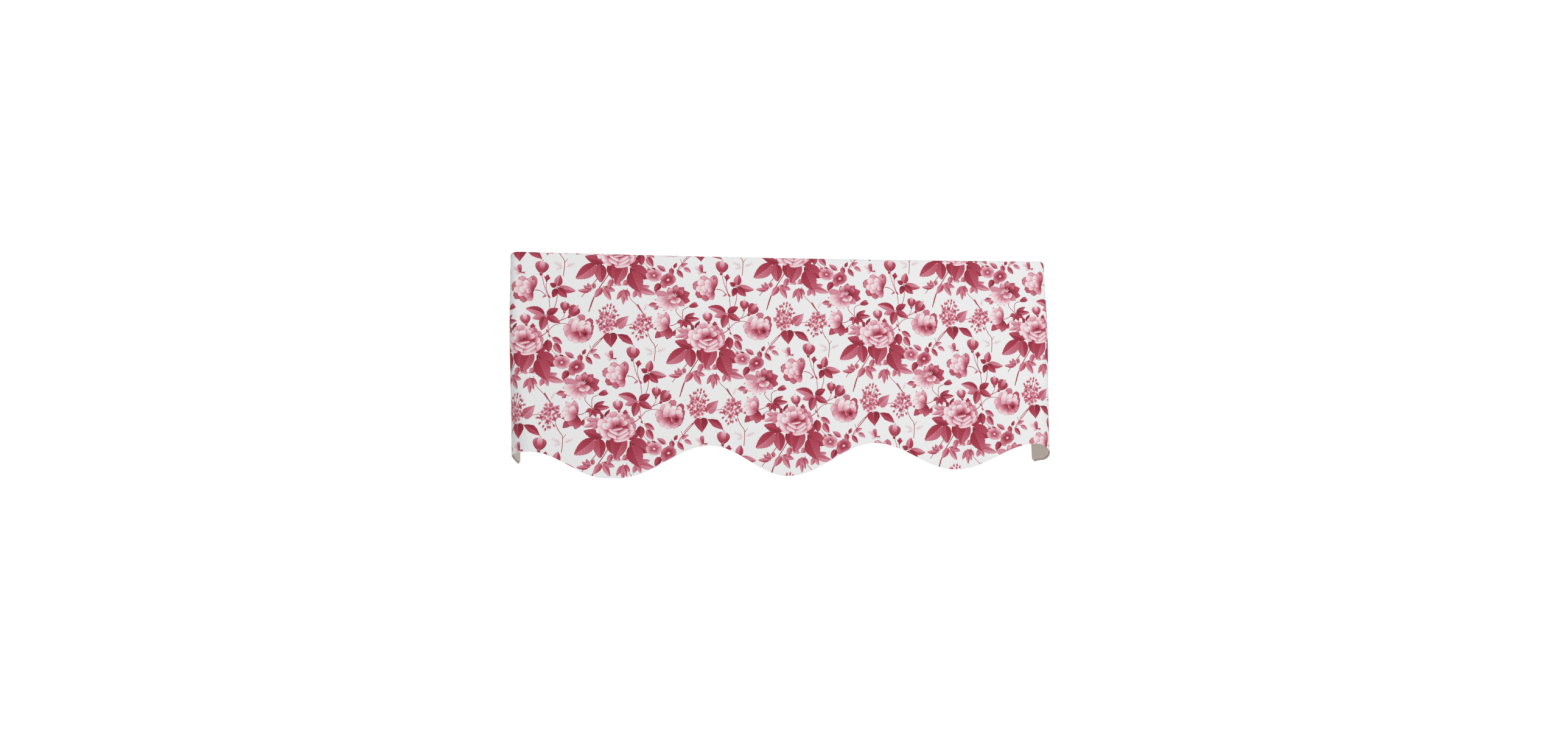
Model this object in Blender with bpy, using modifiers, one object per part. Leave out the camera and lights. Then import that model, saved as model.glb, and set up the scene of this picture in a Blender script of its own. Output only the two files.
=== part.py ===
"""A lined window valance with a rod pocket, a scalloped hem and two returns.

Two cloths hang together.  The printed cotton makes the front and both returns, and is turned
over at the top to form the rod pocket.  The plain lining hangs just behind it, from the pocket's
seam down to the hem.  Units are metres, +Z is up and the front faces -Y.  The origin is at the
middle of the top fold, halfway through the pocket.
"""

import math
from collections import namedtuple

import bpy

FRONT_WIDTH = 1.090  # outside of one return to outside of the other
RETURN_DEPTH = 0.095  # front of the pocket to the back edge of a return
POCKET_DROP = 0.090  # top fold to the pocket's seam
POCKET_DEPTH = 0.014  # outside measure, front to back
FULL_DROP = 0.434  # top fold to the lowest part of the hem
ROD_SAG = 0.003  # how far the middle of the top edge hangs below its ends

CORNER_RADIUS_TOP = 0.018
CORNER_RADIUS_HEM = 0.045
FRONT_FLARE = 0.008  # how far the front's hem stands forward of its top
SIDE_DRAW_IN = 0.005  # how far each side hangs inwards at the hem
RETURN_SWING = 0.006  # how far a return's back corner swings further inwards at the hem
HEM_CORNER_RADIUS = 0.008  # rounding of a return's lower back corner

FACE_THICKNESS = 0.0012
LINING_THICKNESS = 0.0010
CLOTH_GAP = 0.0003
LINING_SHORT = 0.003  # the lining stops this far inside the printed cloth's edges

FRONT_COLUMNS = 19  # on each half of the front
CORNER_COLUMNS = 10  # round each corner
RETURN_COLUMNS = 4
CORNER_MARGIN = 0.004  # flat cloth on each side that belongs to a corner's columns
FRONT_ROWS = 8  # hem to pocket seam
POCKET_ROWS = 3  # pocket seam to top fold
FOLD_ROWS = 6  # over the top
BACK_ROWS = 6  # down the back of the pocket

Turn = namedtuple("Turn", "across drop")
HEM_TURNS = (
    Turn(-0.660, 0.4055),
    Turn(-0.505, 0.380),
    Turn(-0.366, 0.4305),
    Turn(-0.343, 0.431),
    Turn(-0.171, 0.3725),
    Turn(-0.018, 0.4335),
    Turn(0.155, 0.3735),
    Turn(0.327, 0.430),
    Turn(0.495, 0.383),
    Turn(0.592, 0.4175),
    Turn(0.660, 0.424),
)

Ripple = namedtuple("Ripple", "height length phase")
RIPPLES = (
    Ripple(0.0020, 0.470, 0.8),
    Ripple(0.0012, 0.214, 2.1),
)

HALF_WIDTH = FRONT_WIDTH / 2
ARC_SAVING = 2 - math.pi / 2  # a rounded corner is shorter than a square one by this many radii
HALF_CLOTH = HALF_WIDTH + RETURN_DEPTH - ARC_SAVING * CORNER_RADIUS_TOP


def ease(x):
    """0 to 1, level at both ends."""
    x = min(max(x, 0.0), 1.0)
    return x * x * (3 - 2 * x)


def below_pocket(drop):
    """0 at the pocket's seam and above it, 1 at the lowest part of the hem."""
    return min(max((drop - POCKET_DROP) / (FULL_DROP - POCKET_DROP), 0.0), 1.0)


def hem_drop(across):
    """The scalloped edge: a half wave from each turn to the next, and rounded back corners."""
    for here, after in zip(HEM_TURNS, HEM_TURNS[1:]):
        if across <= after.across:
            break
    part = (across - here.across) / (after.across - here.across)
    drop = here.drop + (after.drop - here.drop) * (1 - math.cos(math.pi * part)) / 2
    from_edge = HALF_CLOTH - abs(across)
    inside = max(HEM_CORNER_RADIUS - from_edge, 0.0)
    return drop - HEM_CORNER_RADIUS + math.sqrt(HEM_CORNER_RADIUS**2 - inside**2)


def cloth_point(across, drop, behind):
    """A place on the hanging cloth: `across` it from the middle, `drop` below the top fold, and
    `behind` its outer face."""
    low = below_pocket(drop)
    radius = CORNER_RADIUS_TOP + (CORNER_RADIUS_HEM - CORNER_RADIUS_TOP) * ease(low)
    flat = HALF_WIDTH - radius
    run = abs(across)
    turn = min(max((run - flat) / radius, 0.0), math.pi / 2)
    past = max(run - flat - radius * math.pi / 2, 0.0)
    swing = RETURN_SWING * ease(low) * (past / RETURN_DEPTH) ** 2
    drawn_in = SIDE_DRAW_IN * ease(low) * run / HALF_WIDTH
    x = min(run, flat) + (radius - behind) * math.sin(turn) - drawn_in - swing
    y = radius - (radius - behind) * math.cos(turn) + past
    ripple = sum(r.height * math.sin(math.tau * across / r.length + r.phase) for r in RIPPLES)
    forward = FRONT_FLARE * low + ripple * ease(low) * math.cos(turn)
    above_middle = ROD_SAG * (min(run, HALF_WIDTH) / HALF_WIDTH) ** 2
    return (math.copysign(x, across), y - POCKET_DEPTH / 2 - forward, above_middle - drop)


def pocket_rows():
    """(drop, behind) up the front of the pocket, over the fold and down its back to the seam."""
    radius = POCKET_DEPTH / 2
    rows = []
    for step in range(1, POCKET_ROWS + 1):
        rows.append((POCKET_DROP + (radius - POCKET_DROP) * step / POCKET_ROWS, 0.0))
    for step in range(1, FOLD_ROWS + 1):
        angle = math.pi * step / FOLD_ROWS
        rows.append((radius - radius * math.sin(angle), radius - radius * math.cos(angle)))
    seam_behind = 2 * FACE_THICKNESS + CLOTH_GAP
    for step in range(1, BACK_ROWS + 1):
        part = step / BACK_ROWS
        drawn_in = ease((part - 0.45) / 0.55)
        behind = POCKET_DEPTH + (seam_behind - POCKET_DEPTH) * drawn_in
        rows.append((radius + (POCKET_DROP - radius) * part, behind))
    return rows


def columns(inset):
    """Places across the cloth, closer together round the corners, stopping `inset` short."""
    corner_start = HALF_WIDTH - CORNER_RADIUS_HEM - CORNER_MARGIN
    corner_end = corner_start + CORNER_RADIUS_HEM * math.pi / 2 + 2 * CORNER_MARGIN
    stretches = (
        (0.0, corner_start, FRONT_COLUMNS),
        (corner_start, corner_end, CORNER_COLUMNS),
        (corner_end, HALF_CLOTH - inset, RETURN_COLUMNS),
    )
    half = []
    for start, end, count in stretches:
        half += [start + (end - start) * step / count for step in range(1, count + 1)]
    return [-place for place in reversed(half)] + [0.0] + half


def cloth_sheet(name, places, row_count, point, thickness, material):
    """A grid, one vertex for each column and row, laid on the cloth's shape and thickened."""
    column_count = len(places) - 1
    bpy.ops.mesh.primitive_grid_add(
        x_subdivisions=column_count, y_subdivisions=row_count, size=1.0
    )
    sheet = bpy.context.object
    sheet.name = name
    sheet.data.name = name
    for vertex in sheet.data.vertices:
        column = round((vertex.co.x + 0.5) * column_count)
        row = round((vertex.co.y + 0.5) * row_count)
        vertex.co = point(places[column], row)
    solid = sheet.modifiers.new("Thickness", "SOLIDIFY")
    solid.thickness = thickness
    solid.offset = -1.0
    solid.use_even_offset = True
    sheet.data.shade_smooth()
    sheet.data.materials.append(material)
    return sheet


def printed_cotton():
    over_the_top = pocket_rows()

    def point(across, row):
        if row <= FRONT_ROWS:
            hem = hem_drop(across)
            return cloth_point(across, hem + (POCKET_DROP - hem) * row / FRONT_ROWS, 0.0)
        drop, behind = over_the_top[row - FRONT_ROWS - 1]
        return cloth_point(across, drop, behind)

    return cloth_sheet(
        "face_cloth",
        columns(0.0),
        FRONT_ROWS + len(over_the_top),
        point,
        FACE_THICKNESS,
        cloth_material("Printed cotton", (0.62, 0.34, 0.37, 1.0)),
    )


def lining():
    behind = FACE_THICKNESS + CLOTH_GAP
    top = POCKET_DROP + LINING_SHORT

    def point(across, row):
        hem = hem_drop(across) - LINING_SHORT
        return cloth_point(across, hem + (top - hem) * row / FRONT_ROWS, behind)

    return cloth_sheet(
        "lining",
        columns(LINING_SHORT),
        FRONT_ROWS,
        point,
        LINING_THICKNESS,
        cloth_material("Plain lining", (0.38, 0.34, 0.31, 1.0)),
    )


def cloth_material(name, colour):
    material = bpy.data.materials.new(name)
    material.use_nodes = True
    shader = material.node_tree.nodes["Principled BSDF"]
    shader.inputs["Base Color"].default_value = colour
    shader.inputs["Roughness"].default_value = 0.9
    shader.inputs["Metallic"].default_value = 0.0
    return material


for old in list(bpy.data.objects):
    bpy.data.objects.remove(old, do_unlink=True)

valance = bpy.data.collections.new("window_valance")
bpy.context.scene.collection.children.link(valance)
for cloth in (printed_cotton(), lining()):
    for holder in list(cloth.users_collection):
        holder.objects.unlink(cloth)
    valance.objects.link(cloth)
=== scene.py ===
"""A lined window valance: printed cotton over a plain lining, hung from the fold of its rod pocket.

Units are metres in the model's own frame: +Z up, the front faces -Y, and the origin is halfway
through the pocket under the middle of the top fold.  The floral print is drawn on the flat cloth in
millimetres, across and down, and both cloths are then laid on the shape in which the valance hangs.
"""

import math
from collections import namedtuple

import bpy
import numpy as np
from mathutils import Matrix, Vector
from mathutils.bvhtree import BVHTree
from mathutils.geometry import delaunay_2d_cdt


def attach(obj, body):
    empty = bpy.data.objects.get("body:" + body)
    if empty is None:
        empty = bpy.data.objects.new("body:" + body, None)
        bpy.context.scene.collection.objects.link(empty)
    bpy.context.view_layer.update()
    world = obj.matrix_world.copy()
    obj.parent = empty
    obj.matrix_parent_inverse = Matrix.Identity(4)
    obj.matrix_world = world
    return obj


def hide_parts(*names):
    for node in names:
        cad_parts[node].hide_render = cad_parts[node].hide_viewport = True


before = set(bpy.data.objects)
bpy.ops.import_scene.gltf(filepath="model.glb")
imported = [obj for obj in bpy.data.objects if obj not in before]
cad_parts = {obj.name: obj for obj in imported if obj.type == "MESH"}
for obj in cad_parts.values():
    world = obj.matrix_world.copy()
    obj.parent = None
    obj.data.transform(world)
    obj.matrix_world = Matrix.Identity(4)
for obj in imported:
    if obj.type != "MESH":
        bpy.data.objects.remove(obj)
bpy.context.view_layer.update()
scene = bpy.context.scene


# The camera and the studio: a white backdrop, a pale floor well below the hanging cloth, and soft
# light from the front, a little stronger from the right.

CAMERA_PLACE = Vector((-0.2609, -1.5210, -0.4084))
CAMERA_YAW = math.radians(8.97)
CAMERA_PITCH = math.radians(6.45)
CAMERA_ROLL = math.radians(-1.27)
FLOOR_LEVEL = -2.7


def camera_turn():
    """Columns are the camera's right, up and backward directions."""
    ahead = Vector((
        math.sin(CAMERA_YAW) * math.cos(CAMERA_PITCH),
        math.cos(CAMERA_YAW) * math.cos(CAMERA_PITCH),
        math.sin(CAMERA_PITCH),
    ))
    level = Vector((math.cos(CAMERA_YAW), -math.sin(CAMERA_YAW), 0.0))
    upward = level.cross(ahead)
    right = level * math.cos(CAMERA_ROLL) + upward * math.sin(CAMERA_ROLL)
    up = upward * math.cos(CAMERA_ROLL) - level * math.sin(CAMERA_ROLL)
    return Matrix((right, up, -ahead)).transposed()


camera = bpy.data.objects.new("Camera", bpy.data.cameras.new("Camera"))
camera.data.lens = 18.0
camera.data.sensor_width = 36.0
camera.matrix_world = Matrix.Translation(CAMERA_PLACE) @ camera_turn().to_4x4()
scene.collection.objects.link(camera)
scene.camera = camera
scene.view_settings.view_transform = "Standard"

world = bpy.data.worlds.new("Studio")
world.use_nodes = True
world.node_tree.nodes["Background"].inputs["Color"].default_value = (1.0, 1.0, 1.0, 1.0)
world.node_tree.nodes["Background"].inputs["Strength"].default_value = 0.56
scene.world = world


def add_softbox(name, place, aim, side, power):
    """A square area light at `place`, facing `aim`."""
    lamp = bpy.data.objects.new(name, bpy.data.lights.new(name, "AREA"))
    lamp.data.size = side
    lamp.data.energy = power
    lamp.location = place
    lamp.rotation_euler = (Vector(aim) - Vector(place)).to_track_quat("-Z", "Y").to_euler()
    scene.collection.objects.link(lamp)


add_softbox("Front_light", (0.9, -2.8, 0.1), (0.0, 0.0, -0.2), 2.4, 44.0)
add_softbox("Top_light", (-0.6, -1.2, 1.9), (0.0, 0.0, -0.2), 1.6, 6.0)


def new_material(name):
    """(material, its Principled shader, node maker, link maker)"""
    material = bpy.data.materials.new(name)
    material.use_nodes = True
    tree = material.node_tree
    return material, tree.nodes["Principled BSDF"], tree.nodes.new, tree.links.new


def srgb(red, green, blue):
    """A linear colour from the 0 to 255 values of a screen."""
    def linear(value):
        value = value / 255
        return value / 12.92 if value <= 0.04045 else ((value + 0.055) / 1.055) ** 2.4

    return (linear(red), linear(green), linear(blue), 1.0)


def add_plane(name, width, length, place, tilt, material):
    """A stage plane, `width` by `length`, turned by `tilt` about X."""
    mesh = bpy.data.meshes.new(name)
    half_width, half_length = width / 2, length / 2
    corners = [
        (-half_width, -half_length, 0.0),
        (half_width, -half_length, 0.0),
        (half_width, half_length, 0.0),
        (-half_width, half_length, 0.0),
    ]
    mesh.from_pydata(corners, [], [(0, 1, 2, 3)])
    mesh.materials.append(material)
    plane = bpy.data.objects.new(name, mesh)
    plane.location = place
    plane.rotation_euler = (tilt, 0.0, 0.0)
    scene.collection.objects.link(plane)


floor_material, floor_shader, _, _ = new_material("Studio floor")
floor_shader.inputs["Base Color"].default_value = (0.82, 0.82, 0.82, 1.0)
floor_shader.inputs["Roughness"].default_value = 0.7
add_plane("Studio_floor", 12.0, 9.0, (0.0, -0.5, FLOOR_LEVEL), 0.0, floor_material)

backdrop_material, backdrop_shader, _, _ = new_material("White backdrop")
backdrop_shader.inputs["Base Color"].default_value = (0.0, 0.0, 0.0, 1.0)
backdrop_shader.inputs["Emission Color"].default_value = (1.0, 1.0, 1.0, 1.0)
backdrop_shader.inputs["Emission Strength"].default_value = 1.02
add_plane("Backdrop", 14.0, 8.0, (0.0, 3.0, 0.0), math.pi / 2, backdrop_material)


# The printed cotton: one cloth that makes the front and both returns, and is turned over at the top
# to form the rod pocket.  Its rose print runs on over the fold.  The hem is cut in scallops, sewn to
# the lining's edge and turned, so a little of the plain back shows along it.

HALF_WIDTH = 0.545  # middle of the front to the outside of a return
RETURN_DEPTH = 0.095
POCKET_DROP = 0.090
POCKET_DEPTH = 0.014
FULL_DROP = 0.434
ROD_SAG = 0.003
CORNER_RADIUS_TOP = 0.018
CORNER_RADIUS_HEM = 0.045
FRONT_FLARE = 0.008
SIDE_DRAW_IN = 0.005
RETURN_SWING = 0.006
HEM_CORNER_RADIUS = 0.008
FACE_THICKNESS = 0.0012
LINING_THICKNESS = 0.0010
CLOTH_GAP = 0.0003
LINING_SHORT = 0.003
FOLD_RADIUS = POCKET_DEPTH / 2
HALF_CLOTH = HALF_WIDTH + RETURN_DEPTH - (2 - math.pi / 2) * CORNER_RADIUS_TOP
FOLD_END = FOLD_RADIUS * (1 - math.pi)  # where the fold ends and the pocket's back begins
BACK_EDGE = FOLD_END - (POCKET_DROP - FOLD_RADIUS)  # the pocket back's seam
DRAWN_IN_FROM = 0.45  # the part of the pocket's back that hangs straight before it is drawn in
STITCH_DEPTH = 0.00025
STITCH_HALF_WIDTH = 0.0012

Turn = namedtuple("Turn", "across drop")
HEM_TURNS = (
    Turn(-0.660, 0.4055),
    Turn(-0.505, 0.380),
    Turn(-0.366, 0.4305),
    Turn(-0.343, 0.431),
    Turn(-0.171, 0.3725),
    Turn(-0.018, 0.4335),
    Turn(0.155, 0.3735),
    Turn(0.327, 0.430),
    Turn(0.495, 0.383),
    Turn(0.592, 0.4175),
    Turn(0.660, 0.424),
)

Ripple = namedtuple("Ripple", "height length phase")
RIPPLES = (
    Ripple(0.0020, 0.470, 0.8),
    Ripple(0.0012, 0.214, 2.1),
)

# Soft creases: each is a low ridge from one place on the flat cloth to another, in metres.
Crease = namedtuple("Crease", "start end width height")
CREASES = (
    Crease((-0.520, 0.004), (-0.470, 0.150), 0.010, 0.0005),
    Crease((-0.455, 0.000), (-0.440, 0.060), 0.007, 0.0006),
    Crease((-0.300, 0.110), (-0.335, 0.380), 0.016, 0.0007),
    Crease((-0.060, 0.100), (-0.030, 0.360), 0.018, 0.0006),
    Crease((0.260, 0.000), (0.240, 0.080), 0.009, 0.0005),
    Crease((0.330, 0.110), (0.345, 0.390), 0.015, 0.0008),
    Crease((0.470, 0.020), (0.500, 0.330), 0.014, 0.0007),
)


def ease(x):
    """0 to 1, level at both ends."""
    x = np.clip(x, 0.0, 1.0)
    return x * x * (3 - 2 * x)


def hem_drop(across):
    """The scalloped edge: a half wave from each turn to the next, and rounded back corners."""
    turns = np.array([turn.across for turn in HEM_TURNS])
    drops = np.array([turn.drop for turn in HEM_TURNS])
    here = np.clip(np.searchsorted(turns, across) - 1, 0, len(turns) - 2)
    part = (across - turns[here]) / (turns[here + 1] - turns[here])
    drop = drops[here] + (drops[here + 1] - drops[here]) * (1 - np.cos(math.pi * part)) / 2
    inside = np.clip(HEM_CORNER_RADIUS - (HALF_CLOTH - np.abs(across)), 0.0, HEM_CORNER_RADIUS)
    return drop - HEM_CORNER_RADIUS + np.sqrt(HEM_CORNER_RADIUS**2 - inside**2)


def crease_height(across, down):
    """How far the soft creases stand forward."""
    total = np.zeros_like(across)
    for crease in CREASES:
        start, end = np.array(crease.start), np.array(crease.end)
        run = end - start
        length = math.hypot(*run)
        along = ((across - start[0]) * run[0] + (down - start[1]) * run[1]) / length**2
        aside = ((across - start[0]) * run[1] - (down - start[1]) * run[0]) / length
        beyond = np.maximum(np.abs(along - 0.5) - 0.5, 0.0) * length / crease.width
        total += crease.height * np.exp(-((aside / crease.width) ** 2) - beyond**2)
    return total


def hang(across, drop, behind):
    """The place of the hanging cloth: `across` it from the middle, `drop` below the top fold and
    `behind` its outer face.  All three are arrays."""
    low = np.clip((drop - POCKET_DROP) / (FULL_DROP - POCKET_DROP), 0.0, 1.0)
    radius = CORNER_RADIUS_TOP + (CORNER_RADIUS_HEM - CORNER_RADIUS_TOP) * ease(low)
    flat = HALF_WIDTH - radius
    run = np.abs(across)
    turn = np.clip((run - flat) / radius, 0.0, math.pi / 2)
    past = np.maximum(run - flat - radius * math.pi / 2, 0.0)
    swing = RETURN_SWING * ease(low) * (past / RETURN_DEPTH) ** 2
    draw_in = SIDE_DRAW_IN * ease(low) * run / HALF_WIDTH
    x = np.minimum(run, flat) + (radius - behind) * np.sin(turn) - draw_in - swing
    y = radius - (radius - behind) * np.cos(turn) + past
    ripple = sum(r.height * np.sin(math.tau * across / r.length + r.phase) for r in RIPPLES)
    forward = FRONT_FLARE * low + ripple * ease(low) * np.cos(turn)
    above_middle = ROD_SAG * (np.minimum(run, HALF_WIDTH) / HALF_WIDTH) ** 2
    return np.stack([np.copysign(x, across), y - POCKET_DEPTH / 2 - forward, above_middle - drop], 1)


def printed_face(across, down):
    """The place of the printed face for a place on the flat cloth.  `down` is measured from the top
    fold as if the front went straight up to it, so it runs below 0 over the fold and down the back."""
    round_fold = np.clip((FOLD_RADIUS - down) / FOLD_RADIUS, 0.0, math.pi)
    over = FOLD_RADIUS - FOLD_RADIUS * np.sin(round_fold)
    past = np.maximum(FOLD_END - down, 0.0)
    drop = np.where(down >= FOLD_RADIUS, down, over + past)
    part = past / (POCKET_DROP - FOLD_RADIUS)
    seam = 2 * FACE_THICKNESS + CLOTH_GAP - POCKET_DEPTH
    drawn_in = seam * ease((part - DRAWN_IN_FROM) / (1 - DRAWN_IN_FROM))
    behind = FOLD_RADIUS - FOLD_RADIUS * np.cos(round_fold) + drawn_in
    stitch = STITCH_DEPTH * np.exp(-(((down - POCKET_DROP) / STITCH_HALF_WIDTH) ** 2))
    return hang(across, drop, behind + stitch - crease_height(across, down))


def face_normals(across, down, place):
    """Unit normals of a cloth whose `place` is a function of across and down."""
    step = 0.0004
    sideways = place(across + step, down) - place(across - step, down)
    downwards = place(across, down + step) - place(across, down - step)
    normals = np.cross(downwards, sideways)
    return normals / np.linalg.norm(normals, axis=1)[:, None]


# The drawing kit.  A shape is an outline in its own (along, across) coordinates, 0 to 1 from its
# base to its tip and -1 to 1 from side to side, set on the cloth by an origin and two directions.
# Places on the cloth are complex numbers, millimetres across + millimetres down.  `bow` bends a
# shape sideways, `tones` are the depth of colour at its base and tip, `lines` is the strength of
# its drawn lines, and `kind` says which lines those are.

Shape = namedtuple("Shape", "outline origin along across bow tones lines kind")
PLAIN, LEAF, PETAL, STAR = 0.0, 1.0, 2.0, 3.0


def smooth(points, steps=3, closed=True):
    """More points on a Catmull-Rom curve through these (x, y) points."""
    count = len(points)
    places = np.array(points, float)
    spans = count if closed else count - 1
    curve = []
    for span in range(spans):
        if closed:
            a, b, c, d = (places[(span + k) % count] for k in (-1, 0, 1, 2))
        else:
            a, b, c, d = (places[min(max(span + k, 0), count - 1)] for k in (-1, 0, 1, 2))
        for step in range(steps):
            t = step / steps
            curve.append(
                b + 0.5 * t * (c - a + t * (2 * a - 5 * b + 4 * c - d + t * (3 * (b - c) + d - a)))
            )
    if not closed:
        curve.append(places[-1])
    return np.array(curve)


def both_sides(half):
    """A closed outline from the points of one side, base to tip."""
    other = [(along, -across) for along, across in reversed(half) if across > 0]
    return list(half) + other


ROUND = smooth(both_sides([(0, 0.12), (0.25, 0.62), (0.66, 0.98), (0.94, 0.62)]), 2)
RUFFLED = np.array([
    (0, 0.12), (0.25, 0.62), (0.50, 0.90), (0.72, 0.95), (0.86, 0.82), (0.945, 0.60), (0.955, 0.42),
    (1.0, 0.18), (0.99, -0.08), (0.955, -0.30), (0.965, -0.52), (0.88, -0.80), (0.72, -0.95),
    (0.50, -0.90), (0.25, -0.62), (0, -0.12),
])
POINTED = np.array(both_sides(
    [(0, 0.15), (0.2, 0.66), (0.42, 0.98), (0.66, 0.96), (0.83, 0.74), (0.94, 0.38), (1.03, 0)]
))
OVAL = np.array(both_sides([(0, 0.4), (0.3, 0.95), (0.7, 0.95), (1, 0.4)]))
SPIKE = np.array([(0, 0.35), (0.4, 1.0), (1, 0), (0.4, -1.0), (0, -0.35)])
HEART_HALF = [
    (-0.02, 0.02), (-0.12, 0.30), (-0.09, 0.66), (0.08, 0.93), (0.32, 0.95), (0.6, 0.62), (0.82, 0.25),
    (1, 0),
]
CROSS = np.array([
    (0.5 + 0.5 * reach * math.cos(angle), reach * math.sin(angle))
    for quarter in range(4)
    for reach, angle in (
        (0.40, math.tau * (quarter / 4 - 0.125)),
        (0.86, math.tau * (quarter / 4 - 0.07)),
        (1.0, math.tau * (quarter / 4 + 0.01)),
        (0.78, math.tau * (quarter / 4 + 0.08)),
    )
])
NARROW_HALF = [(0, 0), (0.2, 0.55), (0.45, 0.98), (0.7, 0.72), (0.88, 0.28), (1, 0)]


def set_between(base, tip, width):
    """(origin, along, across) of a shape from base to tip, `width` wide."""
    along = tip - base
    return base, along, 1j * along / abs(along) * width / 2


def patch(outline, base, tip, width, tones, lines=0.0, kind=PLAIN, bow=0.0):
    """One shape alone, in a list."""
    return [Shape(np.array(outline, float), *set_between(base, tip, width), bow, tones, lines, kind)]


def drawn_patch(places, tone):
    """A patch of one tone whose outline is given as places on the cloth."""
    outline = np.stack([np.real(places), np.imag(places)], 1)
    return [Shape(outline, 0j, 1 + 0j, 1j, 0.0, (tone, tone), 0.0, PLAIN)]


def each(draw, rows):
    """The shapes that `draw` makes from every row of its arguments, in their order."""
    shapes = []
    for row in rows:
        shapes += draw(*row)
    return shapes


def petal(base, tip, width, tones, outline=ROUND, lines=0.3, bow=0.0):
    """A petal from base to tip, with rays and a drawn edge."""
    return patch(outline, base, tip, width, tones, lines, PETAL, bow)


def petals(rows, outline=ROUND, lines=0.4):
    """Petals laid one over the next; each row is (base, tip, width, base tone, tip tone, bow)."""
    shapes = []
    for base, tip, width, base_tone, tip_tone, bow in rows:
        shapes += petal(base, tip, width, (base_tone, tip_tone), outline, lines, bow)
    return shapes


def toothed_half(teeth):
    """Base to tip along one side of a leaf with small forward teeth."""
    half = [(0.0, 0.0)]
    for step in range(1, 2 * teeth):
        along = step / (2 * teeth)
        across = math.sin(math.pi * along**0.82) ** 0.66 * (1 - 0.20 * along**4)
        on_tooth = step % 2 == 1
        half.append((along + (0.006 if on_tooth else -0.010), across * (1.0 if on_tooth else 0.95)))
    return half + [(1.0, 0.0)]


def leaf(node, tip, width, light, dark, bow=0.0, teeth=7, half=None, lines=0.18):
    """A leaf on a short stalk from `node`, in two halves that meet at the midrib: the `light` one
    lies clockwise of it.  A negative width swaps them."""
    side = toothed_half(teeth) if half is None else half
    rib = [(0.66, 0.0), (0.33, 0.0)]
    base = node + (tip - node) * min(0.12, 2.0 / abs(tip - node))
    shapes = patch(SPIKE, node, base + (base - node), 1.3, (dark, dark))
    for sign, tone in ((1, light), (-1, dark)):
        outline = [(along, sign * across) for along, across in side] + rib
        shapes += patch(outline, base, tip, width, (tone + 0.16, tone), lines, LEAF, bow)
    return shapes


def stem(points, start_width, end_width, tone, thorns=()):
    """A drawn stem through the points, with thorns at these parts of its length."""
    line = smooth([(p.real, p.imag) for p in points], 3 if len(points) > 2 else 1, closed=False)
    line = line[:, 0] + 1j * line[:, 1]
    ahead = np.gradient(line)
    ahead /= np.abs(ahead)
    halves = np.linspace(start_width, end_width, len(line)) / 2
    edges = [line + 1j * ahead * halves, (line - 1j * ahead * halves)[::-1]]
    shapes = drawn_patch(np.concatenate(edges), tone)
    for number, part in enumerate(thorns):
        index = int(part * (len(line) - 1))
        root, along = line[index], ahead[index]
        point = root + 1j * along * (2.6 if number % 2 else -2.6) - along * 0.6
        shapes += drawn_patch([root - along * 0.9, point, root + along * 0.9], tone)
    return shapes


def twig(points, width):
    """A thick woody stem: a dark edge with a lighter side."""
    shifted = [p - 0.35 - 0.2j for p in points]
    return stem(points, width, width * 0.6, 1.05) + stem(shifted, width * 0.35, width * 0.2, 0.6)


def turned(angle):
    """A unit direction, in degrees clockwise from across the cloth."""
    return complex(math.cos(math.radians(angle)), math.sin(math.radians(angle)))


def placed(shapes, at, turn=0.0, size=1.0, squash=1.0):
    """Shapes drawn about 0, flattened up and down by `squash`, turned, scaled and moved to `at`."""
    def direction(z):
        return complex(z.real, z.imag * squash) * turned(turn) * size

    return [
        shape._replace(
            origin=at + direction(shape.origin),
            along=direction(shape.along),
            across=direction(shape.across),
        )
        for shape in shapes
    ]


def sprig(base, tip, pairs=4, tone=0.55):
    """A fine feathery sprig."""
    shapes = patch(SPIKE, base, tip, 0.8, (tone, tone))
    ahead = (tip - base) / abs(tip - base)
    for pair in range(1, pairs + 1):
        root = base + (tip - base) * pair / (pairs + 0.4)
        reach = abs(tip - base) * (0.42 - 0.05 * pair)
        for side in (-1, 1):
            shapes += patch(SPIKE, root, root + reach * ahead * turned(48 * side), 0.7, (tone, tone))
    return shapes


def needles(node, reach, angles, tone=0.9):
    """Small pointed bracts from one node."""
    shapes = []
    for angle in angles:
        shapes += patch(SPIKE, node, node + reach * turned(angle), reach * 0.30, (tone, tone - 0.1))
    return shapes


def ring(count, reach, width, tones, start, outline, lines, inner, bow=0.0):
    """Petals round 0, the upper ones first so that the lower ones lie over them."""
    angles = [start + 360 * step / count for step in range(count)]
    angles.sort(key=lambda angle: math.sin(math.radians(angle)))
    shapes = []
    for number, angle in enumerate(angles):
        ahead = turned(angle)
        far = reach * (1 + 0.06 * math.sin(2.4 * number + reach))
        shapes += petal(ahead * reach * inner, ahead * far, width, tones, outline, lines, bow)
    return shapes


STAMENS = 13


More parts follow.
